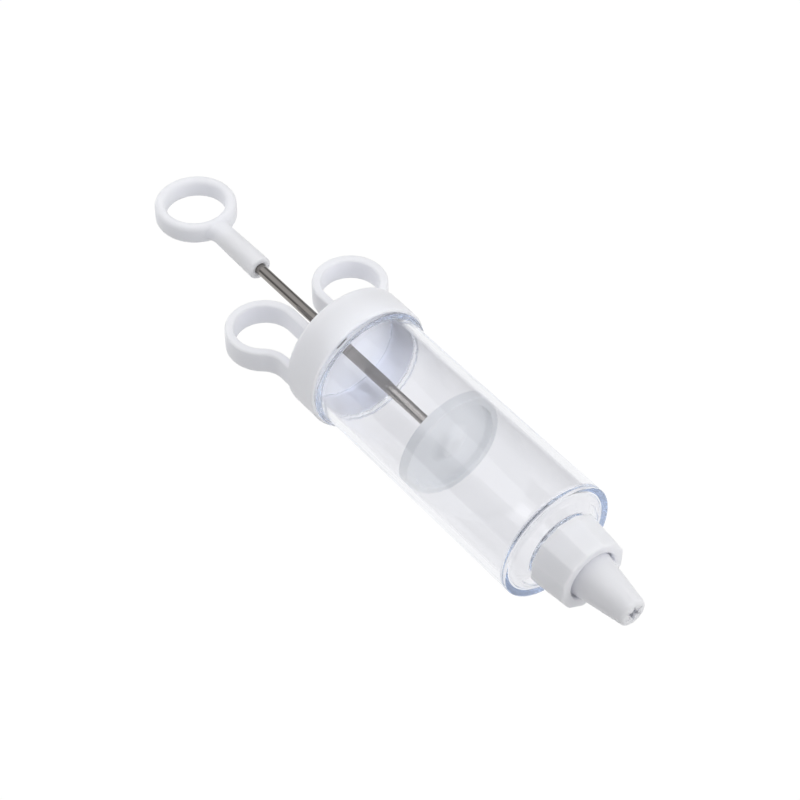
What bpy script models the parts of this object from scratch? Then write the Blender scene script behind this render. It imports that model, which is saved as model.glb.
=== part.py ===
"""Cake decorating syringe, lying on its side.

A clear barrel with a threaded spout at its front, a nozzle held on the spout by a ring nut, a grip
cap with two finger loops screwed on its rear, and a plunger: piston, steel rod and thumb ring.

All lengths are in metres. Distances along the syringe are measured from the plane of the barrel's
front rim, positive towards the nozzle. +X points to the nozzle, +Y across the finger loops, +Z up.
"""

from math import asin, atan2, cos, pi, sin, sqrt, tan

import bmesh
import bpy

MM = 0.001

# Running and joint gaps
CLEARANCE = 0.3 * MM
OVERRUN = 2.0 * MM

# Barrel
BARREL_RADIUS = 22.0 * MM
BARREL_WALL = 2.2 * MM
BARREL_LENGTH = 110.0 * MM
FRONT_WALL = 2.2 * MM
RIM_EDGE = 0.9 * MM
SHOULDER_RISE = 3.1 * MM
SHOULDER_DRAFT = 0.4 * MM
SPOUT_WALL = 3.3 * MM
SPOUT_EDGE = 0.5 * MM
BORE_CORNER = 1.2 * MM
THREAD_RISE = 0.6 * MM
THREAD_LENGTH = 11.9 * MM
BEAD_RISE = 1.5 * MM
BEAD_WIDTH = 1.9 * MM
BEAD_EDGE = 0.5 * MM

# Nozzle
NOZZLE_BASE_RADIUS = 8.6 * MM
NOZZLE_TIP_RADIUS = 5.0 * MM
NOZZLE_LENGTH = 21.5 * MM
NOZZLE_WALL = 1.3 * MM
NOZZLE_TIP_EDGE = 0.7 * MM
FLANGE_THICKNESS = 1.4 * MM
STAR_POINT_RADIUS = 3.3 * MM
STAR_ROOT_RADIUS = 1.5 * MM
STAR_POINTS = 6

# Ring nut
NUT_SIDES = 12
NUT_HOLE_GAP = 0.5 * MM
FLANGE_SEAT = 1.4 * MM
NUT_WALL = 1.8 * MM
NUT_DRAFT = 1.3 * MM
NUT_SIDE_EDGE = 1.2 * MM
NUT_LENGTH = 13.8 * MM
NUT_FACE_WALL = 2.2 * MM
NUT_FACE_EDGE = 0.7 * MM
NUT_REAR_EDGE = 0.4 * MM

# Grip cap
CAP_WALL = 1.55 * MM
CAP_END_GAP = 1.0 * MM
CAP_REAR_WALL = 2.2 * MM
CAP_REAR_EDGE = 2.1 * MM
CAP_LIP_EDGE = 0.6 * MM
CAP_INNER_CORNER = 1.0 * MM
GUIDE_RADIUS = 6.2 * MM
GUIDE_HEIGHT = 2.0 * MM
GUIDE_EDGE = 0.5 * MM
ROD_SLIDE_GAP = 0.35 * MM

# Finger loops
LOOP_RADIUS = 13.6 * MM
LOOP_THICKNESS = 2.8 * MM
LOOP_HEIGHT = 8.9 * MM
LOOP_EDGE = 0.9 * MM
LOOP_STANDOFF = 6.5 * MM
LOOP_ROOT_RADIUS = 8.6 * MM
LOOP_STEM_GAP = 0.75 * MM
LOOP_SINK = 0.05 * MM

# Plunger
ROD_RADIUS = 2.0 * MM
ROD_END_EDGE = 0.3 * MM
ROD_SOCKET_DEPTH = 18.0 * MM
ROD_SOCKET_GAP = 0.45 * MM
STROKE_END_GAP = 2.6 * MM
PLUNGER_DRAWN = 46.4 * MM
PISTON_LENGTH = 4.2 * MM
PISTON_RIM = 2.7 * MM
PISTON_WEB = 1.4 * MM
PISTON_EDGE = 0.35 * MM
HUB_RADIUS = 5.2 * MM
HUB_STEP = 0.4 * MM
HUB_END_WALL = 0.9 * MM

# Thumb ring
RING_RADIUS = 14.8 * MM
RING_THICKNESS = 3.1 * MM
RING_HEIGHT = 7.3 * MM
RING_EDGE = 1.1 * MM
RING_FILLET = 3.2 * MM
STEM_LENGTH = 26.0 * MM
STEM_FRONT_RADIUS = 4.45 * MM
STEM_REAR_RADIUS = 4.1 * MM
STEM_EDGE = 0.7 * MM

# Facets
BARREL_STEPS = 60
NUT_STEPS = 48
ROD_STEPS = 24
CORNER_FACET = 0.5 * MM
LOOP_STEPS = 30
ROOT_STEPS = 7

# Radii that follow from the sizes above
BORE_RADIUS = BARREL_RADIUS - BARREL_WALL
NUT_HOLE_RADIUS = NOZZLE_BASE_RADIUS + NUT_HOLE_GAP
SPOUT_RADIUS = NUT_HOLE_RADIUS + FLANGE_SEAT
SPOUT_BORE_RADIUS = SPOUT_RADIUS - SPOUT_WALL
NUT_BORE_RADIUS = SPOUT_RADIUS + CLEARANCE
NUT_FRONT_FLAT = NUT_BORE_RADIUS + NUT_WALL
NUT_REAR_FLAT = NUT_FRONT_FLAT + NUT_DRAFT
THREAD_RADIUS = BARREL_RADIUS + THREAD_RISE
CAP_BORE_RADIUS = THREAD_RADIUS + CLEARANCE
CAP_RADIUS = CAP_BORE_RADIUS + CAP_WALL
CAP_FACET_RADIUS = CAP_RADIUS * cos(pi / BARREL_STEPS)
GUIDE_HOLE_RADIUS = ROD_RADIUS + ROD_SLIDE_GAP
LOOP_OFFSET = STEM_FRONT_RADIUS + LOOP_STEM_GAP + LOOP_RADIUS

# Where the loops' outer legs run into the cap, so that their rounded edges sink under its facets
LOOP_SIDE = LOOP_EDGE + sqrt(
    (CAP_FACET_RADIUS - LOOP_SINK - LOOP_EDGE) ** 2 - (LOOP_HEIGHT / 2 - LOOP_EDGE) ** 2
)

# Places along the syringe, from front to rear
NUT_REAR = SHOULDER_RISE + CLEARANCE
NUT_FRONT = NUT_REAR + NUT_LENGTH
NUT_SEAT = NUT_FRONT - NUT_FACE_WALL
FLANGE_FRONT = NUT_SEAT - CLEARANCE
FLANGE_REAR = FLANGE_FRONT - FLANGE_THICKNESS
SPOUT_END = FLANGE_REAR - CLEARANCE
NOZZLE_TIP = FLANGE_FRONT + NOZZLE_LENGTH
PISTON_FRONT = -FRONT_WALL - STROKE_END_GAP - PLUNGER_DRAWN
PISTON_REAR = PISTON_FRONT - PISTON_LENGTH
BARREL_REAR = -BARREL_LENGTH
BEAD_REAR = BARREL_REAR + THREAD_LENGTH
BEAD_FRONT = BEAD_REAR + BEAD_WIDTH
CAP_LIP = BEAD_REAR - CLEARANCE
CAP_FLOOR = BARREL_REAR - CAP_END_GAP
CAP_REAR = CAP_FLOOR - CAP_REAR_WALL
GUIDE_REAR = CAP_REAR - GUIDE_HEIGHT
LOOP_CENTRE = CAP_REAR - LOOP_STANDOFF - LOOP_RADIUS
STEM_FRONT = GUIDE_REAR - PLUNGER_DRAWN
STEM_REAR = STEM_FRONT - STEM_LENGTH
RING_CENTRE = STEM_REAR - RING_RADIUS
ROD_FRONT = PISTON_FRONT - HUB_STEP - HUB_END_WALL - CLEARANCE
ROD_REAR = STEM_FRONT - ROD_SOCKET_DEPTH

# The cap lies on one flat facet, and the origin is under the middle of the whole syringe
AXIS_HEIGHT = CAP_FACET_RADIUS
MIDDLE = (NOZZLE_TIP + RING_CENTRE - RING_RADIUS) / 2


def clear_scene():
    for obj in list(bpy.data.objects):
        bpy.data.objects.remove(obj)


def new_collection(name):
    collection = bpy.data.collections.new(name)
    bpy.context.scene.collection.children.link(collection)
    return collection


def plastic(name, colour, roughness, metallic=0.0, transmission=0.0):
    material = bpy.data.materials.new(name)
    material.use_nodes = True
    shader = material.node_tree.nodes["Principled BSDF"]
    shader.inputs["Base Color"].default_value = (*colour, 1.0)
    shader.inputs["Roughness"].default_value = roughness
    shader.inputs["Metallic"].default_value = metallic
    shader.inputs["Transmission Weight"].default_value = transmission
    material.diffuse_color = (*colour, 1.0)
    return material


def place(obj, collection, material=None):
    """Put an object into the part, on the syringe's axis."""
    collection.objects.link(obj)
    obj.parent = axis
    if material:
        obj.data.materials.append(material)
    return obj


def facets(size):
    """How many steps a rounded corner of this size takes."""
    return max(2, round(size / CORNER_FACET))


def rounded(corners):
    """The (radius, along) points of a profile, with an arc at each corner that names a size.

    A corner's size is limited by the shorter of the two sides that meet there.
    """
    points = []
    for index, (radius, along, size) in enumerate(corners):
        before = corners[index - 1]
        after = corners[(index + 1) % len(corners)]
        if not size:
            points.append((radius, along))
            continue
        to_before = (before[0] - radius, before[1] - along)
        to_after = (after[0] - radius, after[1] - along)
        length_before = sqrt(to_before[0] ** 2 + to_before[1] ** 2)
        length_after = sqrt(to_after[0] ** 2 + to_after[1] ** 2)
        start = (to_before[0] / length_before, to_before[1] / length_before)
        end = (to_after[0] / length_after, to_after[1] / length_after)
        turn = atan2(start[0] * end[1] - start[1] * end[0], start[0] * end[0] + start[1] * end[1])
        half = abs(turn) / 2
        size = min(size, 0.45 * tan(half) * min(length_before, length_after))
        bisector = (start[0] + end[0], start[1] + end[1])
        bisector_length = sqrt(bisector[0] ** 2 + bisector[1] ** 2)
        reach = size / sin(half)
        centre = (radius + bisector[0] / bisector_length * reach, along + bisector[1] / bisector_length * reach)
        back = size / tan(half)
        first = (radius + start[0] * back - centre[0], along + start[1] * back - centre[1])
        last = (radius + end[0] * back - centre[0], along + end[1] * back - centre[1])
        steps = facets(size)
        sweep = atan2(first[0] * last[1] - first[1] * last[0], first[0] * last[0] + first[1] * last[1])
        for step in range(steps + 1):
            angle = sweep * step / steps
            points.append(
                (
                    centre[0] + first[0] * cos(angle) - first[1] * sin(angle),
                    centre[1] + first[0] * sin(angle) + first[1] * cos(angle),
                )
            )
    return points


def turned(name, corners, steps, closed=False):
    """A body turned about the syringe's axis, with a flat facet underneath.

    The profile runs down the outer side from front to rear. A closed one is a ring; an open one
    starts and ends on the axis.
    """
    bm = bmesh.new()
    verts = [bm.verts.new((radius, 0, along)) for radius, along in rounded(corners)]
    for first, second in zip(verts, verts[1:]):
        bm.edges.new((first, second))
    if closed:
        bm.edges.new((verts[-1], verts[0]))
    mesh = bpy.data.meshes.new(name)
    bm.to_mesh(mesh)
    bm.free()
    obj = bpy.data.objects.new(name, mesh)
    obj.rotation_mode = "ZYX"
    obj.rotation_euler = (0, pi / 2, pi / steps)
    screw = obj.modifiers.new("Turn", "SCREW")
    screw.axis = "Z"
    screw.steps = steps
    screw.render_steps = steps
    screw.use_merge_vertices = True
    screw.merge_threshold = 0.001 * MM
    screw.use_smooth_shade = True
    return obj


def flat_sided(name, corners, sides, side_edge):
    """A solid with flat sides round the syringe's axis, one of them underneath.

    The profile is drawn like a turned body's, and its radii are the distances to the flats. The
    edges between the flats are rounded.
    """
    widest = max(radius for radius, along, size in corners)
    reach = widest / cos(pi / sides)
    angles = [(2 * side + 1) * pi / sides for side in range(sides)]
    outline = rounded([(reach * cos(angle), reach * sin(angle), side_edge) for angle in angles])
    bm = bmesh.new()
    rings = [
        [bm.verts.new((x * radius / widest, y * radius / widest, along)) for x, y in outline]
        for radius, along in rounded(corners)
        if radius
    ]
    for front, rear in zip(rings, rings[1:]):
        for index in range(len(outline)):
            bm.faces.new((front[index - 1], front[index], rear[index], rear[index - 1]))
    bm.faces.new(rings[0])
    bm.faces.new(rings[-1])
    bmesh.ops.recalc_face_normals(bm, faces=bm.faces)
    mesh = bpy.data.meshes.new(name)
    bm.to_mesh(mesh)
    bm.free()
    obj = bpy.data.objects.new(name, mesh)
    obj.rotation_euler = (0, pi / 2, 0)
    return obj


def arc(centre, radius, start, end, steps):
    """Points (along, across) on an arc from one angle to another, both ends included."""
    return [
        (
            centre[0] + radius * cos(start + (end - start) * step / steps),
            centre[1] + radius * sin(start + (end - start) * step / steps),
        )
        for step in range(steps + 1)
    ]


def flat_band(name, outlines, height, edge):
    """A flat moulding of the given height, whose plan outlines (along, across) have rounded edges.

    The first outline is the outer one and the rest are holes. Each is drawn anticlockwise.
    """
    curve = bpy.data.curves.new(name, "CURVE")
    curve.dimensions = "2D"
    curve.fill_mode = "BOTH"
    curve.extrude = height / 2 - edge
    curve.bevel_depth = edge
    curve.bevel_resolution = facets(edge) - 1
    curve.offset = -edge
    for index, outline in enumerate(outlines):
        points = outline if index == 0 else outline[::-1]
        spline = curve.splines.new("POLY")
        spline.points.add(len(points) - 1)
        for point, (along, across) in zip(spline.points, points):
            point.co = (along, across, 0, 1)
        spline.use_cyclic_u = True
    source = bpy.data.objects.new(name + "_outline", curve)
    bpy.context.scene.collection.objects.link(source)
    graph = bpy.context.evaluated_depsgraph_get()
    mesh = bpy.data.meshes.new_from_object(source.evaluated_get(graph))
    bpy.data.objects.remove(source)
    bm = bmesh.new()
    bm.from_mesh(mesh)
    bmesh.ops.remove_doubles(bm, verts=bm.verts, dist=0.001 * MM)
    bmesh.ops.recalc_face_normals(bm, faces=bm.faces)
    bm.to_mesh(mesh)
    bm.free()
    mesh.name = name
    return bpy.data.objects.new(name, mesh)


def combine(obj, tool, operation):
    """Cut a tool from an object, or join it, with the tool kept as a hidden helper."""
    place(tool, helpers)
    tool.hide_render = True
    tool.display_type = "WIRE"
    boolean = obj.modifiers.new(tool.name, "BOOLEAN")
    boolean.object = tool
    boolean.operation = operation
    boolean.solver = "EXACT"


def make_barrel():
    """Clear tube with a flat front, a raised shoulder, a spout, and a bead in front of its thread."""
    return turned(
        "barrel",
        [
            (SPOUT_BORE_RADIUS, SPOUT_END, 0),
            (SPOUT_RADIUS, SPOUT_END, SPOUT_EDGE),
            (SPOUT_RADIUS, SHOULDER_RISE, 0),
            (NUT_REAR_FLAT - SHOULDER_DRAFT, SHOULDER_RISE, 0),
            (NUT_REAR_FLAT, 0, 0),
            (BARREL_RADIUS, 0, RIM_EDGE),
            (BARREL_RADIUS, BEAD_FRONT, 0),
            (BARREL_RADIUS + BEAD_RISE, BEAD_FRONT, BEAD_EDGE),
            (BARREL_RADIUS + BEAD_RISE, BEAD_REAR, BEAD_EDGE),
            (THREAD_RADIUS, BEAD_REAR, 0),
            (THREAD_RADIUS, BARREL_REAR, 0),
            (BORE_RADIUS, BARREL_REAR, 0),
            (BORE_RADIUS, -FRONT_WALL, BORE_CORNER),
            (NUT_REAR_FLAT - FRONT_WALL, -FRONT_WALL, 0),
            (NUT_REAR_FLAT - FRONT_WALL - SHOULDER_DRAFT, SHOULDER_RISE - FRONT_WALL, 0),
            (SPOUT_BORE_RADIUS, SHOULDER_RISE - FRONT_WALL, 0),
        ],
        BARREL_STEPS,
        closed=True,
    )


def make_nozzle():
    """Hollow cone with a flange at its rear, and a star cut through its tip."""
    inner_tip = NOZZLE_TIP - NOZZLE_WALL
    nozzle = turned(
        "nozzle",
        [
            (0, NOZZLE_TIP, 0),
            (NOZZLE_TIP_RADIUS, NOZZLE_TIP, NOZZLE_TIP_EDGE),
            (NOZZLE_BASE_RADIUS, FLANGE_FRONT, 0),
            (SPOUT_RADIUS, FLANGE_FRONT, 0),
            (SPOUT_RADIUS, FLANGE_REAR, 0),
            (NOZZLE_BASE_RADIUS - NOZZLE_WALL, FLANGE_REAR, 0),
            (NOZZLE_TIP_RADIUS - NOZZLE_WALL, inner_tip, 0),
            (0, inner_tip, 0),
        ],
        NUT_STEPS,
    )
    bm = bmesh.new()
    bmesh.ops.create_cone(
        bm,
        cap_ends=True,
        segments=2 * STAR_POINTS,
        radius1=STAR_POINT_RADIUS,
        radius2=STAR_POINT_RADIUS,
        depth=NOZZLE_WALL + 2 * OVERRUN,
    )
    for vert in bm.verts:
        side = round(atan2(vert.co.y, vert.co.x) / (pi / STAR_POINTS))
        if side % 2:
            vert.co.x *= STAR_ROOT_RADIUS / STAR_POINT_RADIUS
            vert.co.y *= STAR_ROOT_RADIUS / STAR_POINT_RADIUS
    mesh = bpy.data.meshes.new("star")
    bm.to_mesh(mesh)
    bm.free()
    star = bpy.data.objects.new("star", mesh)
    star.location = (NOZZLE_TIP - NOZZLE_WALL / 2, 0, 0)
    star.rotation_euler = (0, pi / 2, 0)
    combine(nozzle, star, "DIFFERENCE")
    return nozzle


def make_nut():
    """Twelve-sided ring nut, whose front face holds the nozzle's flange against the spout."""
    nut = flat_sided(
        "nozzle_nut",
        [
            (0, NUT_FRONT, 0),
            (NUT_FRONT_FLAT, NUT_FRONT, NUT_FACE_EDGE),
            (NUT_REAR_FLAT, NUT_REAR, NUT_REAR_EDGE),
            (0, NUT_REAR, 0),
        ],
        NUT_SIDES,
        NUT_SIDE_EDGE,
    )
    bore = turned(
        "nut_bore",
        [
            (0, NUT_FRONT + OVERRUN, 0),
            (NUT_HOLE_RADIUS, NUT_FRONT + OVERRUN, 0),
            (NUT_HOLE_RADIUS, NUT_SEAT, 0),
            (NUT_BORE_RADIUS, NUT_SEAT, 0),
            (NUT_BORE_RADIUS, NUT_REAR - OVERRUN, 0),
            (0, NUT_REAR - OVERRUN, 0),
        ],
        NUT_STEPS,
    )
    combine(nut, bore, "DIFFERENCE")
    return nut


def finger_loop():
    """Plan outlines of the loop on the +Y side: outer edge, then hole.

    The loop is a circle. Its inner leg runs straight into the cap's rear face, and its outer leg
    turns back through a root arc that meets the cap's side at a tangent.
    """
    inner_radius = LOOP_RADIUS - LOOP_THICKNESS
    root_centre_across = LOOP_SIDE + LOOP_ROOT_RADIUS
    leave = asin((root_centre_across - LOOP_OFFSET) / (LOOP_RADIUS + LOOP_ROOT_RADIUS))
    root_centre = (LOOP_CENTRE + (LOOP_RADIUS + LOOP_ROOT_RADIUS) * cos(leave), root_centre_across)
    centre = (LOOP_CENTRE, LOOP_OFFSET)
    buried = CAP_REAR + CAP_REAR_EDGE + CAP_INNER_CORNER
    outlines = []
    for radius, root_radius, end in (
        (LOOP_RADIUS, LOOP_ROOT_RADIUS, buried),
        (inner_radius, LOOP_ROOT_RADIUS + LOOP_THICKNESS, CAP_REAR + CAP_REAR_WALL / 2),
    ):
        loop = arc(centre, radius, 3 * pi / 2, leave, LOOP_STEPS)
        root = arc(root_centre, root_radius, pi + leave, 3 * pi / 2, ROOT_STEPS)
        leg_across = LOOP_OFFSET - radius
        side_across = root_centre_across - root_radius
        outline = [(end, leg_across)] + loop + root[1:] + [(end, side_across)]
        outlines.append(outline[::-1])
    return outlines


def make_cap():
    """Screw cap with a guide for the rod and two finger loops, all one moulding."""
    cap = turned(
        "grip_cap",
        [
            (0, CAP_LIP, 0),
            (CAP_RADIUS, CAP_LIP, CAP_LIP_EDGE),
            (CAP_RADIUS, CAP_REAR, CAP_REAR_EDGE),
            (GUIDE_RADIUS, CAP_REAR, 0),
            (GUIDE_RADIUS, GUIDE_REAR, GUIDE_EDGE),
            (0, GUIDE_REAR, 0),
        ],
        BARREL_STEPS,
    )
    loops = flat_band("finger_loops", finger_loop(), LOOP_HEIGHT, LOOP_EDGE)
    mirror = loops.modifiers.new("Other side", "MIRROR")
    mirror.use_axis = (False, True, False)
    mirror.use_mirror_merge = False
    combine(cap, loops, "UNION")
    hollow = turned(
        "cap_hollow",
        [
            (0, CAP_LIP + OVERRUN, 0),
            (CAP_BORE_RADIUS, CAP_LIP + OVERRUN, 0),
            (CAP_BORE_RADIUS, CAP_FLOOR, CAP_INNER_CORNER),
            (GUIDE_HOLE_RADIUS, CAP_FLOOR, 0),
            (GUIDE_HOLE_RADIUS, GUIDE_REAR - OVERRUN, 0),
            (0, GUIDE_REAR - OVERRUN, 0),
        ],
        BARREL_STEPS,
    )
    combine(cap, hollow, "DIFFERENCE")
    return cap


def make_piston():
    """Milky disc with a rim round a recess in front, and a hub that holds the rod's end."""
    recess = PISTON_REAR + PISTON_WEB
    radius = BORE_RADIUS - CLEARANCE
    hub_front = PISTON_FRONT - HUB_STEP
    socket_end = ROD_FRONT + CLEARANCE
    socket_radius = ROD_RADIUS + CLEARANCE
    return turned(
        "piston",
        [
            (0, hub_front, 0),
            (HUB_RADIUS, hub_front, PISTON_EDGE),
            (HUB_RADIUS, recess, PISTON_EDGE),
            (radius - PISTON_RIM, recess, PISTON_EDGE),
            (radius - PISTON_RIM, PISTON_FRONT, PISTON_EDGE),
            (radius, PISTON_FRONT, PISTON_EDGE),
            (radius, PISTON_REAR, PISTON_EDGE),
            (socket_radius, PISTON_REAR, 0),
            (socket_radius, socket_end, 0),
            (0, socket_end, 0),
        ],
        BARREL_STEPS,
    )


def make_rod():
    """Steel rod from the piston's hub to the thumb ring's stem."""
    return turned(
        "plunger_rod",
        [
            (0, ROD_FRONT, 0),
            (ROD_RADIUS, ROD_FRONT, ROD_END_EDGE),
            (ROD_RADIUS, ROD_REAR, ROD_END_EDGE),
            (0, ROD_REAR, 0),
        ],
        ROD_STEPS,
    )


def ring_outlines():
    """Plan outlines of the thumb ring with the root of its stem, and of its hole."""
    half_root = STEM_REAR_RADIUS - RING_EDGE / 2
    span = RING_RADIUS + RING_FILLET
    fillet_along = sqrt(span**2 - (half_root + RING_FILLET) ** 2)
    leave = atan2(half_root + RING_FILLET, fillet_along)
    centre = (RING_CENTRE, 0)
    root_end = STEM_REAR + RING_FILLET
    near = (RING_CENTRE + fillet_along, -half_root - RING_FILLET)
    far = (RING_CENTRE + fillet_along, half_root + RING_FILLET)
    outer = arc(centre, RING_RADIUS, leave, 2 * pi - leave, 2 * LOOP_STEPS)
    outer += arc(near, RING_FILLET, pi - leave, pi / 2, ROOT_STEPS)[1:]
    outer += [(root_end, -half_root), (root_end, half_root)]
    outer += arc(far, RING_FILLET, 3 * pi / 2, pi + leave, ROOT_STEPS)[:-1]
    hole = arc(centre, RING_RADIUS - RING_THICKNESS, 0, 2 * pi, 2 * LOOP_STEPS)[:-1]
    return [outer, hole]


def make_thumb_ring():
    """Thumb ring and its round stem, bored for the rod."""
    ring = turned(
        "thumb_ring",
        [
            (0, STEM_FRONT, 0),
            (STEM_FRONT_RADIUS, STEM_FRONT, STEM_EDGE),
            (STEM_REAR_RADIUS, STEM_REAR - RING_THICKNESS / 2, 0),
            (0, STEM_REAR - RING_THICKNESS / 2, 0),
        ],
        ROD_STEPS,
    )
    band = flat_band("thumb_band", ring_outlines(), RING_HEIGHT, RING_EDGE)
    combine(ring, band, "UNION")
    socket_radius = ROD_RADIUS + ROD_SOCKET_GAP
    socket = turned(
        "rod_socket",
        [
            (0, STEM_FRONT + OVERRUN, 0),
            (socket_radius, STEM_FRONT + OVERRUN, 0),
            (socket_radius, ROD_REAR - CLEARANCE, 0),
            (0, ROD_REAR - CLEARANCE, 0),
        ],
        ROD_STEPS,
    )
    combine(ring, socket, "DIFFERENCE")
    return ring


clear_scene()
parts = new_collection("cake_decorating_syringe")
helpers = new_collection("helpers")

axis = bpy.data.objects.new("axis", None)
axis.location = (-MIDDLE, 0, AXIS_HEIGHT)
parts.objects.link(axis)

white = plastic("white_polypropylene", (0.86, 0.86, 0.89), 0.35)
milky = plastic("milky_polyethylene", (0.80, 0.82, 0.85), 0.45, transmission=0.3)
clear = plastic("clear_polystyrene", (0.90, 0.93, 0.97), 0.05, transmission=1.0)
steel = plastic("drawn_steel", (0.55, 0.55, 0.56), 0.25, metallic=1.0)

for piece, material in (
    (make_barrel(), clear),
    (make_nozzle(), white),
    (make_nut(), white),
    (make_cap(), white),
    (make_piston(), milky),
    (make_rod(), steel),
    (make_thumb_ring(), white),
):
    place(piece, parts, material)
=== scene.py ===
"""Finished look of the cake decorating syringe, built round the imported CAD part.

Every visible piece is modelled again here, smoother and rounder, and takes the place of its CAD node.
Sizes are in metres. Places along the syringe are measured from the plane of the barrel's front, as in
the part's source, and settle() moves a finished piece to where the CAD node lies.
"""

from math import asin, atan2, cos, hypot, pi, radians, sin, sqrt

import bmesh
import bpy
from mathutils import Matrix, Vector


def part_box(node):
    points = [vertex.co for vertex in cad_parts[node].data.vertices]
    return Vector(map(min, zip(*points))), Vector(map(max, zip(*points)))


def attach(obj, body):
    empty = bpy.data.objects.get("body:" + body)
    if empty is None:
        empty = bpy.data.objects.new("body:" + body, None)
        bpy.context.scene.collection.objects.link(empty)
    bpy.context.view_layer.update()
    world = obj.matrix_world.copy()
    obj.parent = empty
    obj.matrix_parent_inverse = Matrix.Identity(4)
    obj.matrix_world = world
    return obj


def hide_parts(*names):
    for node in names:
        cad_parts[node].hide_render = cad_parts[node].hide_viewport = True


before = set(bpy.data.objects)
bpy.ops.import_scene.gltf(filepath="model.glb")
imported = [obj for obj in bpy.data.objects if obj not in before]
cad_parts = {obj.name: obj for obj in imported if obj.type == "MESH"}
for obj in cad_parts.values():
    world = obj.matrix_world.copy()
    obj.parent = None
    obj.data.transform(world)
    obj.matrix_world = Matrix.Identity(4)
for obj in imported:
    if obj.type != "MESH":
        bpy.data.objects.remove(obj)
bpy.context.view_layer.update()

MM = 0.001
TINY = 0.004 * MM

# How far a cutting shape reaches past the face that it cuts
OVERRUN = 2 * MM

# Where the barrel's front and the syringe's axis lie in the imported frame
NOZZLE_TIP = 36.2 * MM
FRONT_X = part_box("nozzle")[1].x - NOZZLE_TIP
AXIS_Z = sum(corner.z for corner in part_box("barrel")) / 2

# Below, EDGE is the rounding of an outer edge and FILLET that of an inner corner

# Barrel
BARREL_RADIUS = 22.0 * MM
BORE_RADIUS = 19.8 * MM
BARREL_REAR = -110.0 * MM
FRONT_WALL = 2.2 * MM
BEAD_RADIUS = 23.5 * MM
BEAD_REAR = -98.1 * MM
BEAD_FRONT = -96.2 * MM
THREAD_LAND = 22.25 * MM
CONE_RISE = 3.1 * MM
CONE_TOP = 13.5 * MM
CONE_BASE = 17.6 * MM
CONE_INNER_TOP = 12.76 * MM
CONE_INNER_BASE = 16.86 * MM
SPOUT_RADIUS = 10.5 * MM
SPOUT_BORE = 7.2 * MM
SPOUT_END = 13.0 * MM
SPOUT_EDGE = 0.5 * MM
SPOUT_BORE_EDGE = 0.4 * MM
SPOUT_ENTRY_EDGE = 0.6 * MM
SPOUT_FILLET = 0.3 * MM
CONE_EDGE = 0.8 * MM
CONE_FILLET = 1.0 * MM
CONE_INNER_EDGE = 1.7 * MM
CONE_INNER_FILLET = 0.3 * MM
FRONT_EDGE = 0.9 * MM
BEAD_EDGE = 0.8 * MM
BEAD_FILLET = 0.3 * MM
LAND_FILLET = 0.2 * MM
REAR_EDGE = 1.0 * MM
BORE_FILLET = 1.2 * MM

# Ring nut
NUT_SIDES = 12
NUT_REAR = 3.2 * MM
NUT_FRONT = 17.2 * MM
NUT_REAR_FLAT = 13.9 * MM
NUT_FRONT_FLAT = 12.6 * MM
NUT_BORE = 10.85 * MM
NUT_HOLE = 9.1 * MM
NUT_SEAT = 15.0 * MM
NUT_CHAMFER = 0.4 * MM
NUT_CORNER_EDGE = 0.45 * MM
NUT_FRONT_EDGE = 0.7 * MM
NUT_REAR_EDGE = 0.35 * MM
NUT_HOLE_EDGE = 0.3 * MM
NUT_BORE_EDGE = 0.2 * MM
NUT_SEAT_FILLET = 0.4 * MM

# Nozzle
FLANGE_FRONT = 14.7 * MM
FLANGE_REAR = 13.3 * MM
FLANGE_RADIUS = 10.5 * MM
NOZZLE_BASE = 8.6 * MM
NOZZLE_END = 5.0 * MM
NOZZLE_WALL = 1.3 * MM
NOZZLE_EDGE = 1.2 * MM
NOZZLE_FILLET = 0.3 * MM
NOZZLE_INNER_FILLET = 0.5 * MM
FLANGE_EDGE = 0.25 * MM
STAR_POINTS = 6
STAR_RADIUS = 3.4 * MM
STAR_ROOTS = 0.45
STAR_DEPTH = 6 * MM

# Grip cap
CAP_RADIUS = 24.45 * MM
CAP_BORE = 22.9 * MM
CAP_LIP = -98.4 * MM
CAP_FLOOR = -111.0 * MM
CAP_REAR = -113.2 * MM
CAP_CHAMFER = 0.3 * MM
CAP_LIP_EDGE = 0.6 * MM
CAP_REAR_EDGE = 2.1 * MM
CAP_BORE_EDGE = 0.2 * MM
CAP_FLOOR_FILLET = 2.0 * MM
GUIDE_RADIUS = 6.2 * MM
GUIDE_REAR = -115.2 * MM
GUIDE_HOLE = 2.35 * MM
GUIDE_EDGE = 0.6 * MM
GUIDE_FILLET = 0.6 * MM

# Finger loops
LOOP_THICKNESS = 3.25 * MM
LOOP_HEIGHT = 8.9 * MM
LOOP_RADIUS = 13.6 * MM
LOOP_CENTRE = -133.3 * MM
LOOP_OFFSET = 18.8 * MM
LOOP_ROOT = 8.6 * MM
LOOP_SIDE = 24.1 * MM
LOOP_FLARE = 1.1 * MM
LOOP_EDGE = 0.8 * MM
LEG_SINK = 1.0 * MM
SIDE_SINK = 3.0 * MM

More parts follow.
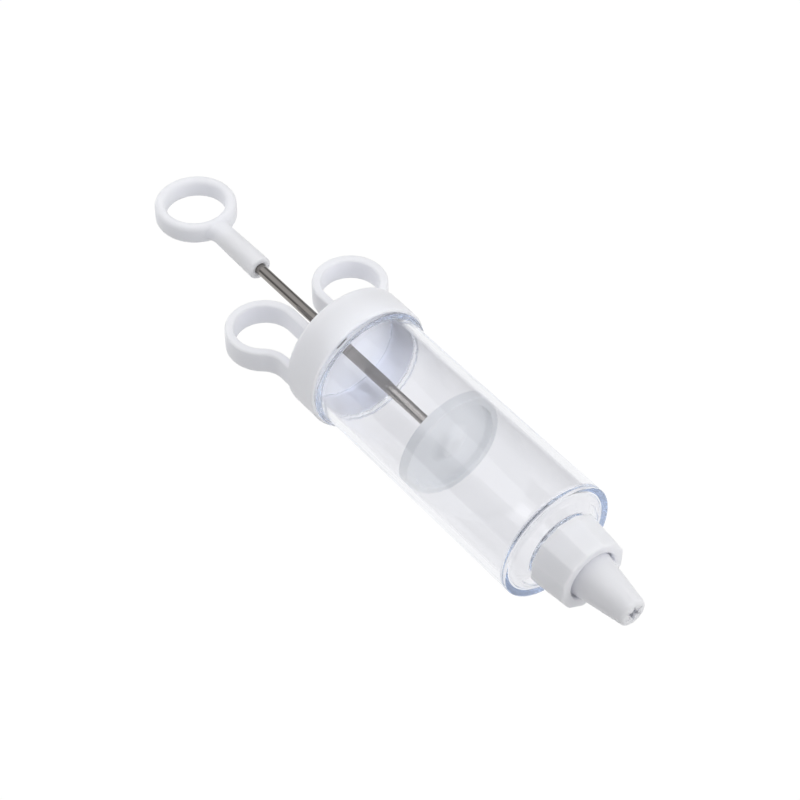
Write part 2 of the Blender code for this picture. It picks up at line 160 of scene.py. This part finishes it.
# Plunger
ROD_RADIUS = 2.0 * MM
ROD_FRONT = -52.8 * MM
ROD_REAR = -179.6 * MM
ROD_CLEARANCE = 0.3 * MM
ROD_EDGE = 0.3 * MM
PISTON_RADIUS = 19.5 * MM
PISTON_FRONT = -51.2 * MM
PISTON_REAR = -55.4 * MM
PISTON_RIM = 2.7 * MM
PISTON_WEB = 1.4 * MM
PISTON_EDGE = 0.35 * MM
PISTON_FILLET = 1.0 * MM
SOCKET_EDGE = 0.2 * MM
HUB_TOP = 4.0 * MM
HUB_BASE = 6.4 * MM
HUB_SINK = 0.4 * MM
HUB_EDGE = 1.5 * MM
HUB_FILLET = 1.8 * MM
RING_RADIUS = 15.05 * MM
RING_THICKNESS = 4.1 * MM
RING_HEIGHT = 8.0 * MM
RING_CENTRE = -202.15 * MM
RING_EDGE = 1.95 * MM
RING_FILLET = 5.0 * MM
STEM_FRONT = -161.6 * MM
STEM_FRONT_RADIUS = 4.45 * MM
STEM_REAR_RADIUS = 4.1 * MM
STEM_ROOT_HEIGHT = 3.76 * MM
STEM_END_HEIGHT = 3.6 * MM
STEM_SINK = 1.0 * MM
STEM_EDGE = 0.7 * MM
STEM_BORE = 2.2 * MM
STEM_CHAMFER = 0.2 * MM


# Mesh tools

def on_ring(vert, radius, along):
    """Whether a vertex lies on the ring of that radius at that place along the axis."""
    return abs(vert.co.x - along) < TINY and abs(hypot(vert.co.y, vert.co.z) - radius) < TINY


def clean(bm):
    """Merge doubles, drop what collapsed, and turn every face outwards."""
    bmesh.ops.remove_doubles(bm, verts=bm.verts, dist=TINY / 10)
    bmesh.ops.dissolve_degenerate(bm, edges=bm.edges, dist=TINY / 10)
    bmesh.ops.recalc_face_normals(bm, faces=bm.faces)


def turn(profile, steps=128, closed=True):
    """A body turned about the axis from (radius, along, edge rounding) points.

    A closed profile makes a ring. An open one starts and ends on the axis.
    """
    bm = bmesh.new()
    verts = [bm.verts.new((along, 0, radius)) for radius, along, edge in profile]
    edges = [bm.edges.new(pair) for pair in zip(verts, verts[1:])]
    if closed:
        edges.append(bm.edges.new((verts[-1], verts[0])))
    bmesh.ops.spin(
        bm, geom=verts + edges, cent=(0, 0, 0), axis=(1, 0, 0), angle=2 * pi, steps=steps, use_merge=True
    )
    clean(bm)
    for radius, along, edge in profile:
        if edge:
            ring = [e for e in bm.edges if all(on_ring(v, radius, along) for v in e.verts)]
            round_edges(bm, ring, edge)
    return bm


def round_edges(bm, edges, size, segments=5):
    """Round edges off by a bevel that starts this far from them."""
    bmesh.ops.bevel(
        bm,
        geom=edges,
        offset=size,
        offset_type="OFFSET",
        affect="EDGES",
        segments=segments,
        profile=0.5,
        material=-1,
    )


def section(bm, width, height, rounding, segments=8):
    """The edges of a rounded rectangle across the X axis: width along Y, height along Z."""
    bmesh.ops.create_grid(bm, x_segments=1, y_segments=1, size=0.5)
    bmesh.ops.scale(bm, vec=(width, height, 1), verts=bm.verts)
    bmesh.ops.bevel(
        bm,
        geom=bm.verts[:],
        offset=rounding,
        offset_type="OFFSET",
        affect="VERTICES",
        segments=segments,
        profile=0.5,
        material=-1,
    )
    upright = Matrix(((0, 0, 1, 0), (1, 0, 0, 0), (0, 1, 0, 0), (0, 0, 0, 1)))
    bmesh.ops.transform(bm, matrix=upright, verts=bm.verts)
    bmesh.ops.delete(bm, geom=bm.faces[:], context="FACES_ONLY")
    return bm.edges[:]


def push(bm, edges, step, scale=(1, 1, 1)):
    """Extrude a section by a step and scale it about its own middle."""
    made = bmesh.ops.extrude_edge_only(bm, edges=edges)["geom"]
    verts = [g for g in made if isinstance(g, bmesh.types.BMVert)]
    middle = sum((v.co for v in verts), Vector()) / len(verts)
    bmesh.ops.scale(bm, vec=scale, space=Matrix.Translation(-middle), verts=verts)
    bmesh.ops.translate(bm, vec=step, verts=verts)
    return [g for g in made if isinstance(g, bmesh.types.BMEdge) and g.is_boundary]


def bend(bm, edges, centre, angle, steps):
    """Carry a section round an upright axis through the centre."""
    verts = list({v for e in edges for v in e.verts})
    last = bmesh.ops.spin(
        bm, geom=verts + edges, cent=centre, axis=(0, 0, 1), angle=angle, steps=steps, use_merge=False
    )["geom_last"]
    return [g for g in last if isinstance(g, bmesh.types.BMEdge)]


def fillet_offset(height, size):
    """How far a fillet of this size stands out at a height above the face that it runs into."""
    return size - sqrt(max(0.0, size**2 - (size - height) ** 2))


def to_mesh(bm, name):
    """A mesh of the bmesh, which is freed."""
    mesh = bpy.data.meshes.new(name)
    bm.to_mesh(mesh)
    bm.free()
    return mesh


def combine(bm, *steps):
    """The bmesh with each (operation, other bmesh) done to it by an exact Boolean."""
    base = bpy.data.objects.new("base", to_mesh(bm, "base"))
    made = [base]
    bpy.context.scene.collection.objects.link(base)
    for operation, other in steps:
        tool = bpy.data.objects.new("tool", to_mesh(other, "tool"))
        bpy.context.scene.collection.objects.link(tool)
        made.append(tool)
        boolean = base.modifiers.new(operation, "BOOLEAN")
        boolean.operation = operation
        boolean.object = tool
        boolean.solver = "EXACT"
    graph = bpy.context.evaluated_depsgraph_get()
    result = bmesh.new()
    result.from_mesh(base.evaluated_get(graph).to_mesh())
    for obj in made:
        mesh = obj.data
        bpy.data.objects.remove(obj)
        bpy.data.meshes.remove(mesh)
    clean(result)
    return result


def settle(bm, name, body, node, material, sharp=40):
    bmesh.ops.translate(bm, vec=(FRONT_X, 0, AXIS_Z), verts=bm.verts)
    for face in bm.faces:
        face.smooth = True
    mesh = to_mesh(bm, name)
    mesh.set_sharp_from_angle(angle=radians(sharp))
    mesh.materials.append(material)
    obj = bpy.data.objects.new(name, mesh)
    bpy.context.scene.collection.objects.link(obj)
    weighted = obj.modifiers.new("Even shading", "WEIGHTED_NORMAL")
    weighted.keep_sharp = True
    weighted.weight = 80
    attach(obj, body)
    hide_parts(node)
    return obj


# Materials

def srgb(code):
    """Linear RGBA of an sRGB hex value."""
    channels = [int(code[i : i + 2], 16) / 255 for i in (1, 3, 5)]
    return (*[c / 12.92 if c <= 0.04045 else ((c + 0.055) / 1.055) ** 2.4 for c in channels], 1.0)


def add(tree, kind, inputs=None, **settings):
    """A new node with its settings, and its inputs set to values or linked to other nodes' outputs."""
    made = tree.nodes.new(kind)
    for name, value in settings.items():
        setattr(made, name, value)
    for name, value in (inputs or {}).items():
        if isinstance(value, bpy.types.NodeSocket):
            tree.links.new(value, made.inputs[name])
        else:
            made.inputs[name].default_value = value
    return made


def new_material(name, inputs):
    """A material with one shader, that shader, and the Object coordinates for its patterns."""
    material = bpy.data.materials.new(name)
    material.use_nodes = True
    tree = material.node_tree
    tree.nodes.clear()
    shader = add(tree, "ShaderNodeBsdfPrincipled", inputs)
    add(tree, "ShaderNodeOutputMaterial", {"Surface": shader.outputs["BSDF"]})
    place = add(tree, "ShaderNodeTexCoord").outputs["Object"]
    return material, shader, place


def moulded_polypropylene():
    """Injection-moulded white polypropylene: a satin, faintly rippled skin that light sinks into."""
    material, shader, place = new_material(
        "moulded_white_polypropylene",
        {
            "Base Color": srgb("#F1F2FA"),
            "IOR": 1.49,
            "Subsurface Weight": 1.0,
            "Subsurface Radius": (1.0, 1.0, 1.0),
            "Subsurface Scale": 3 * MM,
        },
    )
    tree = material.node_tree
    # A mould's satin grain is finer than this, too fine to show
    skin = add(tree, "ShaderNodeTexNoise", {"Vector": place, "Scale": 1 / (1.1 * MM), "Detail": 3.0})
    sink = add(tree, "ShaderNodeTexNoise", {"Vector": place, "Scale": 1 / (11 * MM), "Detail": 1.0})
    gloss = add(
        tree,
        "ShaderNodeMapRange",
        {"Value": sink.outputs["Fac"], "From Min": 0.3, "From Max": 0.7, "To Min": 0.34, "To Max": 0.46},
    )
    tree.links.new(gloss.outputs["Result"], shader.inputs["Roughness"])
    ripple = add(
        tree, "ShaderNodeBump", {"Height": sink.outputs["Fac"], "Strength": 0.25, "Distance": 0.25 * MM}
    )
    grain = add(
        tree,
        "ShaderNodeBump",
        {
            "Height": skin.outputs["Fac"],
            "Strength": 0.08,
            "Distance": 0.03 * MM,
            "Normal": ripple.outputs["Normal"],
        },
    )
    tree.links.new(grain.outputs["Normal"], shader.inputs["Normal"])
    return material


def clear_styrene():
    """Moulded clear styrene plastic: polished, faintly blue in its depth, with drawn-out flow lines."""
    material, shader, place = new_material(
        "moulded_clear_styrene",
        {
            "Base Color": srgb("#F4F4F6"),
            "IOR": 1.57,
            "Roughness": 0.02,
            "Transmission Weight": 1.0,
        },
    )
    tree = material.node_tree
    drawn = add(tree, "ShaderNodeMapping", {"Vector": place, "Scale": (0.04, 1.0, 1.0)})
    flow = add(
        tree,
        "ShaderNodeTexNoise",
        {"Vector": drawn.outputs["Vector"], "Scale": 1 / (3.5 * MM), "Detail": 3.0},
    )
    streaks = add(
        tree, "ShaderNodeBump", {"Height": flow.outputs["Fac"], "Strength": 0.5, "Distance": 0.12 * MM}
    )
    tree.links.new(streaks.outputs["Normal"], shader.inputs["Normal"])
    depth = add(tree, "ShaderNodeVolumeAbsorption", {"Color": srgb("#C9DDF5"), "Density": 9.0})
    tree.links.new(depth.outputs["Volume"], tree.nodes["Material Output"].inputs["Volume"])
    return material


def milky_polyethylene():
    """Moulded natural polyethylene: milky and waxy, with a shadow of what lies behind it."""
    material, shader, place = new_material(
        "moulded_natural_polyethylene",
        {
            "Base Color": srgb("#DADCDE"),
            "IOR": 1.51,
            "Transmission Weight": 0.3,
            "Subsurface Weight": 0.5,
            "Subsurface Radius": (1.0, 1.0, 1.0),
            "Subsurface Scale": 3 * MM,
        },
    )
    tree = material.node_tree
    wax = add(tree, "ShaderNodeTexNoise", {"Vector": place, "Scale": 1 / (4 * MM), "Detail": 2.0})
    gloss = add(
        tree,
        "ShaderNodeMapRange",
        {"Value": wax.outputs["Fac"], "From Min": 0.3, "From Max": 0.7, "To Min": 0.38, "To Max": 0.5},
    )
    tree.links.new(gloss.outputs["Result"], shader.inputs["Roughness"])
    return material


def drawn_steel():
    """Bright drawn steel: grey reflections, drawn out along the rod by fine die marks."""
    material, shader, place = new_material(
        "bright_drawn_steel", {"Base Color": srgb("#94908C"), "Metallic": 1.0}
    )
    tree = material.node_tree
    # Real die marks lie closer together, too close to show
    drawn = add(tree, "ShaderNodeMapping", {"Vector": place, "Scale": (0.01, 1.0, 1.0)})
    marks = add(
        tree,
        "ShaderNodeTexNoise",
        {"Vector": drawn.outputs["Vector"], "Scale": 1 / (0.35 * MM), "Detail": 3.0},
    )
    gloss = add(
        tree,
        "ShaderNodeMapRange",
        {"Value": marks.outputs["Fac"], "From Min": 0.3, "From Max": 0.7, "To Min": 0.05, "To Max": 0.13},
    )
    tree.links.new(gloss.outputs["Result"], shader.inputs["Roughness"])
    lines = add(
        tree, "ShaderNodeBump", {"Height": marks.outputs["Fac"], "Strength": 0.3, "Distance": 0.01 * MM}
    )
    tree.links.new(lines.outputs["Normal"], shader.inputs["Normal"])
    return material


# Pieces

def barrel():
    """Clear tube with a flat front, a cone up to the spout, and a bead in front of the cap."""
    return turn(
        [
            (SPOUT_BORE, SPOUT_END, SPOUT_BORE_EDGE),
            (SPOUT_RADIUS, SPOUT_END, SPOUT_EDGE),
            (SPOUT_RADIUS, CONE_RISE, SPOUT_FILLET),
            (CONE_TOP, CONE_RISE, CONE_EDGE),
            (CONE_BASE, 0, CONE_FILLET),
            (BARREL_RADIUS, 0, FRONT_EDGE),
            (BARREL_RADIUS, BEAD_FRONT, BEAD_FILLET),
            (BEAD_RADIUS, BEAD_FRONT, BEAD_EDGE),
            (BEAD_RADIUS, BEAD_REAR, BEAD_EDGE),
            (THREAD_LAND, BEAD_REAR, LAND_FILLET),
            (THREAD_LAND, BARREL_REAR, REAR_EDGE),
            (BORE_RADIUS, BARREL_REAR, REAR_EDGE),
            (BORE_RADIUS, -FRONT_WALL, BORE_FILLET),
            (CONE_INNER_BASE, -FRONT_WALL, CONE_INNER_EDGE),
            (CONE_INNER_TOP, CONE_RISE - FRONT_WALL, CONE_INNER_FILLET),
            (SPOUT_BORE, CONE_RISE - FRONT_WALL, SPOUT_ENTRY_EDGE),
        ],
        steps=320,
    )


def nut():
    """Ring nut with twelve drafted flats, a hole for the nozzle and a bore for the spout."""
    bm = bmesh.new()
    reach = 1 / cos(pi / NUT_SIDES)
    bmesh.ops.create_cone(
        bm,
        cap_ends=True,
        segments=NUT_SIDES,
        radius1=NUT_REAR_FLAT * reach,
        radius2=NUT_FRONT_FLAT * reach,
        depth=NUT_FRONT - NUT_REAR,
    )
    turned_corner = Matrix.Rotation(pi / NUT_SIDES, 4, "Z")
    lie_down = Matrix.Rotation(pi / 2, 4, "Y")
    middle = Matrix.Translation(((NUT_FRONT + NUT_REAR) / 2, 0, 0))
    bmesh.ops.transform(bm, matrix=middle @ lie_down @ turned_corner, verts=bm.verts)
    bmesh.ops.recalc_face_normals(bm, faces=bm.faces)
    upright = [e for e in bm.edges if abs(e.verts[0].co.x - e.verts[1].co.x) > TINY]
    round_edges(bm, upright, NUT_CORNER_EDGE, 4)
    for along, size in ((NUT_FRONT, NUT_FRONT_EDGE), (NUT_REAR, NUT_REAR_EDGE)):
        rim = [e for e in bm.edges if all(abs(v.co.x - along) < TINY for v in e.verts)]
        round_edges(bm, rim, size)
    bore = turn(
        [
            (0, NUT_FRONT + OVERRUN, 0),
            (NUT_HOLE + OVERRUN + NUT_CHAMFER, NUT_FRONT + OVERRUN, 0),
            (NUT_HOLE, NUT_FRONT - NUT_CHAMFER, NUT_HOLE_EDGE),
            (NUT_HOLE, NUT_SEAT, NUT_HOLE_EDGE),
            (NUT_BORE, NUT_SEAT, NUT_SEAT_FILLET),
            (NUT_BORE, NUT_REAR + NUT_CHAMFER, NUT_BORE_EDGE),
            (NUT_BORE + OVERRUN + NUT_CHAMFER, NUT_REAR - OVERRUN, 0),
            (0, NUT_REAR - OVERRUN, 0),
        ],
        closed=False,
    )
    return combine(bm, ("DIFFERENCE", bore))


def nozzle():
    """Hollow cone with a flange, and a six-point star cut through its tip."""
    inner_tip = NOZZLE_TIP - NOZZLE_WALL
    cone = turn(
        [
            (0, NOZZLE_TIP, 0),
            (NOZZLE_END, NOZZLE_TIP, NOZZLE_EDGE),
            (NOZZLE_BASE, FLANGE_FRONT, NOZZLE_FILLET),
            (FLANGE_RADIUS, FLANGE_FRONT, FLANGE_EDGE),
            (FLANGE_RADIUS, FLANGE_REAR, FLANGE_EDGE),
            (NOZZLE_BASE - NOZZLE_WALL, FLANGE_REAR, FLANGE_EDGE),
            (NOZZLE_END - NOZZLE_WALL, inner_tip, NOZZLE_INNER_FILLET),
            (0, inner_tip, 0),
        ],
        closed=False,
    )
    star = bmesh.new()
    bmesh.ops.create_cone(
        star,
        cap_ends=True,
        segments=2 * STAR_POINTS,
        radius1=STAR_RADIUS,
        radius2=STAR_RADIUS,
        depth=STAR_DEPTH,
    )
    roots = [v for v in star.verts if round(atan2(v.co.y, v.co.x) * STAR_POINTS / pi) % 2]
    bmesh.ops.scale(star, vec=(STAR_ROOTS, STAR_ROOTS, 1), verts=roots)
    placed = Matrix.Translation((NOZZLE_TIP - NOZZLE_WALL / 2, 0, 0)) @ Matrix.Rotation(pi / 2, 4, "Y")
    bmesh.ops.transform(star, matrix=placed, verts=star.verts)
    return combine(cone, ("DIFFERENCE", star))


def finger_loops():
    """Both loops: a rounded band swept down the inner leg, round the loop and back to the cap's side."""
    bm = bmesh.new()
    middle = LOOP_THICKNESS / 2
    path_radius = LOOP_RADIUS - middle
    root_across = LOOP_SIDE + LOOP_ROOT
    leave = asin((root_across - LOOP_OFFSET) / (LOOP_RADIUS + LOOP_ROOT))
    root_along = LOOP_CENTRE + (LOOP_RADIUS + LOOP_ROOT) * cos(leave)
    edges = section(bm, LOOP_THICKNESS, LOOP_HEIGHT, LOOP_EDGE)
    wide, tall = LOOP_THICKNESS / 2, LOOP_HEIGHT / 2
    start = Vector((CAP_REAR + LEG_SINK, LOOP_OFFSET - path_radius, 0))
    bmesh.ops.translate(bm, vec=start, verts=bm.verts)
    flared = (1, (wide + LOOP_FLARE) / wide, (tall + LOOP_FLARE) / tall)
    bmesh.ops.scale(bm, vec=flared, space=Matrix.Translation(-start), verts=bm.verts)
    edges = push(bm, edges, (-LEG_SINK, 0, 0))
    offset, along, steps = LOOP_FLARE, 0.0, 6
    for step in range(1, steps + 1):
        height = LOOP_FLARE * (1 - cos(pi / 2 * step / steps))
        new_offset = fillet_offset(height, LOOP_FLARE)
        scale = (1, (wide + new_offset) / (wide + offset), (tall + new_offset) / (tall + offset))
        edges = push(bm, edges, (along - height, 0, 0), scale)
        offset, along = new_offset, height
    edges = push(bm, edges, (LOOP_CENTRE - CAP_REAR + LOOP_FLARE, 0, 0))
    edges = bend(bm, edges, (LOOP_CENTRE, LOOP_OFFSET, 0), -(3 * pi / 2 - leave), 72)
    edges = bend(bm, edges, (root_along, root_across, 0), pi / 2 - leave, 16)
    push(bm, edges, (CAP_REAR + SIDE_SINK - root_along, 0, 0))
    bmesh.ops.holes_fill(bm, edges=[e for e in bm.edges if e.is_boundary], sides=0)
    across = Matrix.Scale(-1, 4, (0, 1, 0))
    twin = bmesh.ops.duplicate(bm, geom=bm.verts[:] + bm.edges[:] + bm.faces[:])["geom"]
    bmesh.ops.transform(bm, matrix=across, verts=[g for g in twin if isinstance(g, bmesh.types.BMVert)])
    bmesh.ops.recalc_face_normals(bm, faces=bm.faces)
    return bm


def grip_cap():
    """Screw cap with the rod's guide and both finger loops, as one moulding."""
    outside = turn(
        [
            (0, CAP_LIP, 0),
            (CAP_RADIUS, CAP_LIP, CAP_LIP_EDGE),
            (CAP_RADIUS, CAP_REAR, CAP_REAR_EDGE),
            (GUIDE_RADIUS, CAP_REAR, GUIDE_FILLET),
            (GUIDE_RADIUS, GUIDE_REAR, GUIDE_EDGE),
            (0, GUIDE_REAR, 0),
        ],
        steps=160,
        closed=False,
    )
    hollow = turn(
        [
            (0, CAP_LIP + OVERRUN, 0),
            (CAP_BORE + OVERRUN + CAP_CHAMFER, CAP_LIP + OVERRUN, 0),
            (CAP_BORE, CAP_LIP - CAP_CHAMFER, CAP_BORE_EDGE),
            (CAP_BORE, CAP_FLOOR, CAP_FLOOR_FILLET),
            (GUIDE_HOLE, CAP_FLOOR, 0),
            (GUIDE_HOLE, GUIDE_REAR + CAP_CHAMFER, 0),
            (GUIDE_HOLE + OVERRUN + CAP_CHAMFER, GUIDE_REAR - OVERRUN, 0),
            (0, GUIDE_REAR - OVERRUN, 0),
        ],
        steps=160,
        closed=False,
    )
    return combine(outside, ("UNION", finger_loops()), ("DIFFERENCE", hollow))


def piston():
    """Milky disc with a rim round its recess and a hub for the rod's end."""
    recess = PISTON_REAR + PISTON_WEB
    rim = PISTON_RADIUS - PISTON_RIM
    hub_front = PISTON_FRONT - HUB_SINK
    socket = ROD_RADIUS + ROD_CLEARANCE
    socket_end = ROD_FRONT + ROD_CLEARANCE
    return turn(
        [
            (0, hub_front, 0),
            (HUB_TOP, hub_front, HUB_EDGE),
            (HUB_BASE, recess, HUB_FILLET),
            (rim, recess, PISTON_FILLET),
            (rim, PISTON_FRONT, PISTON_EDGE),
            (PISTON_RADIUS, PISTON_FRONT, PISTON_EDGE),
            (PISTON_RADIUS, PISTON_REAR, PISTON_EDGE),
            (socket, PISTON_REAR, SOCKET_EDGE),
            (socket, socket_end, 0),
            (0, socket_end, 0),
        ],
        closed=False,
    )


def rod():
    """Plain round rod with rounded ends."""
    return turn(
        [
            (0, ROD_FRONT, 0),
            (ROD_RADIUS, ROD_FRONT, ROD_EDGE),
            (ROD_RADIUS, ROD_REAR, ROD_EDGE),
            (0, ROD_REAR, 0),
        ],
        steps=64,
        closed=False,
    )


def ring_band():
    """The band that goes round the thumb."""
    band = bmesh.new()
    edges = section(band, RING_THICKNESS, RING_HEIGHT, RING_EDGE)
    bmesh.ops.translate(band, vec=(RING_CENTRE, RING_RADIUS - RING_THICKNESS / 2, 0), verts=band.verts)
    bmesh.ops.spin(
        band,
        geom=band.verts[:] + edges,
        cent=(RING_CENTRE, 0, 0),
        axis=(0, 0, 1),
        angle=2 * pi,
        steps=120,
        use_merge=True,
    )
    clean(band)
    return band


def ring_stem():
    """The round stem, swept from its rounded front end back into the band, where it widens."""
    end_radius = STEM_FRONT_RADIUS - STEM_EDGE
    places = []
    for step in range(1, 6):
        angle = pi / 2 * step / 5
        radius = STEM_FRONT_RADIUS - STEM_EDGE * (1 - sin(angle))
        places.append((STEM_FRONT - STEM_EDGE * (1 - cos(angle)), radius, radius))
    # A fillet that touches the stem's side and the ring's outside
    lean = asin((STEM_REAR_RADIUS + RING_FILLET) / (RING_RADIUS + RING_FILLET))
    flare_start = RING_CENTRE + (RING_RADIUS + RING_FILLET) * cos(lean)
    for step in range(11):
        angle = (pi / 2 - lean) * step / 10
        wide = STEM_REAR_RADIUS + RING_FILLET * (1 - cos(angle))
        tall = STEM_REAR_RADIUS - (STEM_REAR_RADIUS - STEM_ROOT_HEIGHT) * step / 10
        places.append((flare_start - RING_FILLET * sin(angle), wide, tall))
    places.append((places[-1][0] - STEM_SINK, wide, STEM_END_HEIGHT))
    stem = bmesh.new()
    bmesh.ops.create_circle(stem, segments=64, radius=end_radius)
    lie_down = Matrix.Translation((STEM_FRONT, 0, 0)) @ Matrix.Rotation(pi / 2, 4, "Y")
    bmesh.ops.transform(stem, matrix=lie_down, verts=stem.verts)
    edges = stem.edges[:]
    along, wide, tall = STEM_FRONT, end_radius, end_radius
    for new_along, new_wide, new_tall in places:
        edges = push(stem, edges, (new_along - along, 0, 0), (1, new_wide / wide, new_tall / tall))
        along, wide, tall = new_along, new_wide, new_tall
    bmesh.ops.holes_fill(stem, edges=[e for e in stem.edges if e.is_boundary], sides=0)
    bmesh.ops.recalc_face_normals(stem, faces=stem.faces)
    return stem


def thumb_ring():
    """Rounded ring band, and a round stem that widens into it, bored for the rod."""
    bore = turn(
        [
            (0, STEM_FRONT + OVERRUN, 0),
            (STEM_BORE + OVERRUN + STEM_CHAMFER, STEM_FRONT + OVERRUN, 0),
            (STEM_BORE, STEM_FRONT - STEM_CHAMFER, 0),
            (STEM_BORE, ROD_REAR - ROD_CLEARANCE, 0),
            (0, ROD_REAR - ROD_CLEARANCE, 0),
        ],
        steps=64,
        closed=False,
    )
    return combine(ring_band(), ("UNION", ring_stem()), ("DIFFERENCE", bore))


# The syringe

white = moulded_polypropylene()
clear = clear_styrene()
milky = milky_polyethylene()
steel = drawn_steel()

clear_barrel = settle(barrel(), "clear_barrel", "tube", "barrel", clear)
settle(nut(), "twelve_sided_nut", "nut", "nozzle_nut", white)
settle(nozzle(), "star_nozzle", "tip", "nozzle", white)
settle(grip_cap(), "looped_cap", "cap", "grip_cap", white)
milky_piston = settle(piston(), "milky_piston", "plunger", "piston", milky)
settle(rod(), "steel_rod", "handle", "plunger_rod", steel)
settle(thumb_ring(), "thumb_ring_and_stem", "handle", "thumb_ring", white)

# Light passes through the clear wall and the milky disc to what is behind them
for see_through in (clear_barrel, milky_piston):
    see_through.visible_shadow = False


# Studio

# Brightness of the tent behind and in front of the syringe, by the angle about it in degrees: 0 is the
# far side, 90 overhead and 180 the near side. The two ends come first
TENT = (
    (-180, 0.3, 0.2),
    (180, 0.3, 0.2),
    (-150, 0.7, 0.3),
    (-120, 0.95, 0.43),
    (-60, 0.95, 0.43),
    (-30, 0.3, 0.27),
    (20, 0.25, 0.27),
    (45, 0.45, 0.4),
    (60, 0.9, 0.65),
    (80, 0.95, 0.75),
    (105, 0.95, 0.85),
    (125, 0.95, 0.85),
    (150, 0.25, 0.3),
)
TENT_BLUE = 1.02

# Viewpoint, from a fit to the photo's circles of the rim, cap, loops and ring: angles in degrees, and
# the place measured from the middle of the barrel's front
CAMERA_AZIMUTH = 51.2308
CAMERA_ELEVATION = 46.4686
CAMERA_ROLL = 0.7008
CAMERA_PLACE = (317.86 * MM, -320.26 * MM, 537.26 * MM)
CAMERA_LENS = 98.66
CAMERA_SENSOR = 36.0


def lamp(name, kind, place, target, power, colour, **settings):
    """A lamp that points at a target, and of which no mirror image shows on the pieces."""
    data = bpy.data.lights.new(name, kind)
    for setting, value in settings.items():
        setattr(data, setting, value)
    data.energy = power
    data.color = srgb(colour)[:3]
    light = bpy.data.objects.new(name, data)
    light.location = place
    light.rotation_euler = (Vector(target) - Vector(place)).to_track_quat("-Z", "Y").to_euler()
    light.visible_glossy = False
    bpy.context.scene.collection.objects.link(light)


def lit_table():
    """A lit white table under the syringe."""
    bm = bmesh.new()
    bmesh.ops.create_grid(bm, x_segments=1, y_segments=1, size=3.0)
    table = bpy.data.objects.new("table", to_mesh(bm, "table"))
    bpy.context.scene.collection.objects.link(table)
    glow = new_material(
        "lit_white_table",
        {
            "Base Color": srgb("#202020"),
            "Roughness": 1.0,
            "Specular IOR Level": 0.0,
            "Emission Color": srgb("#FFFFFF"),
            "Emission Strength": 1.0,
        },
    )[0]
    table.data.materials.append(glow)
    # Only seen: the tent's lower half stands for the light that the table throws back
    table.visible_diffuse = False
    table.visible_shadow = False


def light_tent():
    """A tent of soft light round the table, brightest above and below."""
    world = bpy.data.worlds.new("light_tent")
    world.use_nodes = True
    tree = world.node_tree
    direction = add(tree, "ShaderNodeTexCoord").outputs["Generated"]
    way = add(tree, "ShaderNodeSeparateXYZ", {"Vector": direction})
    turn_up = add(tree, "ShaderNodeMath", {0: way.outputs["Z"], 1: way.outputs["Y"]}, operation="ARCTAN2")
    share = add(
        tree,
        "ShaderNodeMapRange",
        {"Value": turn_up.outputs["Value"], "From Min": -pi, "From Max": pi},
    )
    halves = []
    for half in (1, 2):
        ramp = add(tree, "ShaderNodeValToRGB", {"Fac": share.outputs["Result"]})
        stops = ramp.color_ramp.elements
        for index, stripe in enumerate(TENT):
            place = stripe[0] / 360 + 0.5
            # A new ramp has two stops, which become its ends
            stop = stops[index] if index < 2 else stops.new(place)
            stop.position = place
            stop.color = (stripe[half], stripe[half], TENT_BLUE * stripe[half], 1)
        halves.append(add(tree, "ShaderNodeBackground", {"Color": ramp.outputs["Color"]}))
    forward = add(tree, "ShaderNodeMapRange", {"Value": way.outputs["X"], "From Min": -1.0, "From Max": 1.0})
    both = add(
        tree,
        "ShaderNodeMixShader",
        {0: forward.outputs["Result"], 1: halves[0].outputs[0], 2: halves[1].outputs[0]},
    )
    tree.links.new(both.outputs["Shader"], tree.nodes["World Output"].inputs["Surface"])
    bpy.context.scene.world = world


def lamps():
    """A soft key from the front, a soft fill on the rear pieces, and a narrow spot into the cap."""
    lamp("key", "AREA", (0.7, 0.5, 0.4), (-0.02, 0, 0.02), 3.8, "#FFFFFF", size=0.9)
    lamp("rear_fill", "AREA", (-0.4, -0.2, 0.5), (-0.08, 0, 0.02), 0.8, "#FFFFFF", size=0.5)
    # Makes up for light that bends through the clear wall, which a render loses in part
    lamp(
        "cap_fill",
        "SPOT",
        (FRONT_X - 30 * MM, -30 * MM, AXIS_Z + 100 * MM),
        (FRONT_X - 104 * MM, 7 * MM, AXIS_Z - 11 * MM),
        0.27,
        "#E6EEFF",
        spot_size=radians(17),
        spot_blend=0.7,
        shadow_soft_size=12 * MM,
    )


def light_paths():
    """Enough bounces for light that runs along inside the clear wall, and colours as they come."""
    bpy.context.scene.cycles.max_bounces = 96
    bpy.context.scene.cycles.transmission_bounces = 96
    bpy.context.scene.cycles.glossy_bounces = 96
    bpy.context.scene.view_settings.view_transform = "Standard"


def camera():
    """A camera at the photo's viewpoint."""
    azimuth, elevation, roll = radians(CAMERA_AZIMUTH), radians(CAMERA_ELEVATION), radians(CAMERA_ROLL)
    back = Vector((sin(azimuth) * cos(elevation), -cos(azimuth) * cos(elevation), sin(elevation)))
    level = Vector((cos(azimuth), sin(azimuth), 0))
    upright = level.cross(back) * -1
    right = cos(roll) * level + sin(roll) * upright
    up = -sin(roll) * level + cos(roll) * upright
    place = Vector(CAMERA_PLACE) + Vector((FRONT_X, 0, AXIS_Z))
    data = bpy.data.cameras.new("camera")
    data.lens = CAMERA_LENS
    data.sensor_width = CAMERA_SENSOR
    view = bpy.data.objects.new("camera", data)
    view.matrix_world = Matrix(
        (
            (right.x, up.x, back.x, place.x),
            (right.y, up.y, back.y, place.y),
            (right.z, up.z, back.z, place.z),
            (0, 0, 0, 1),
        )
    )
    bpy.context.scene.collection.objects.link(view)
    bpy.context.scene.camera = view


lit_table()
light_tent()
lamps()
light_paths()
camera()
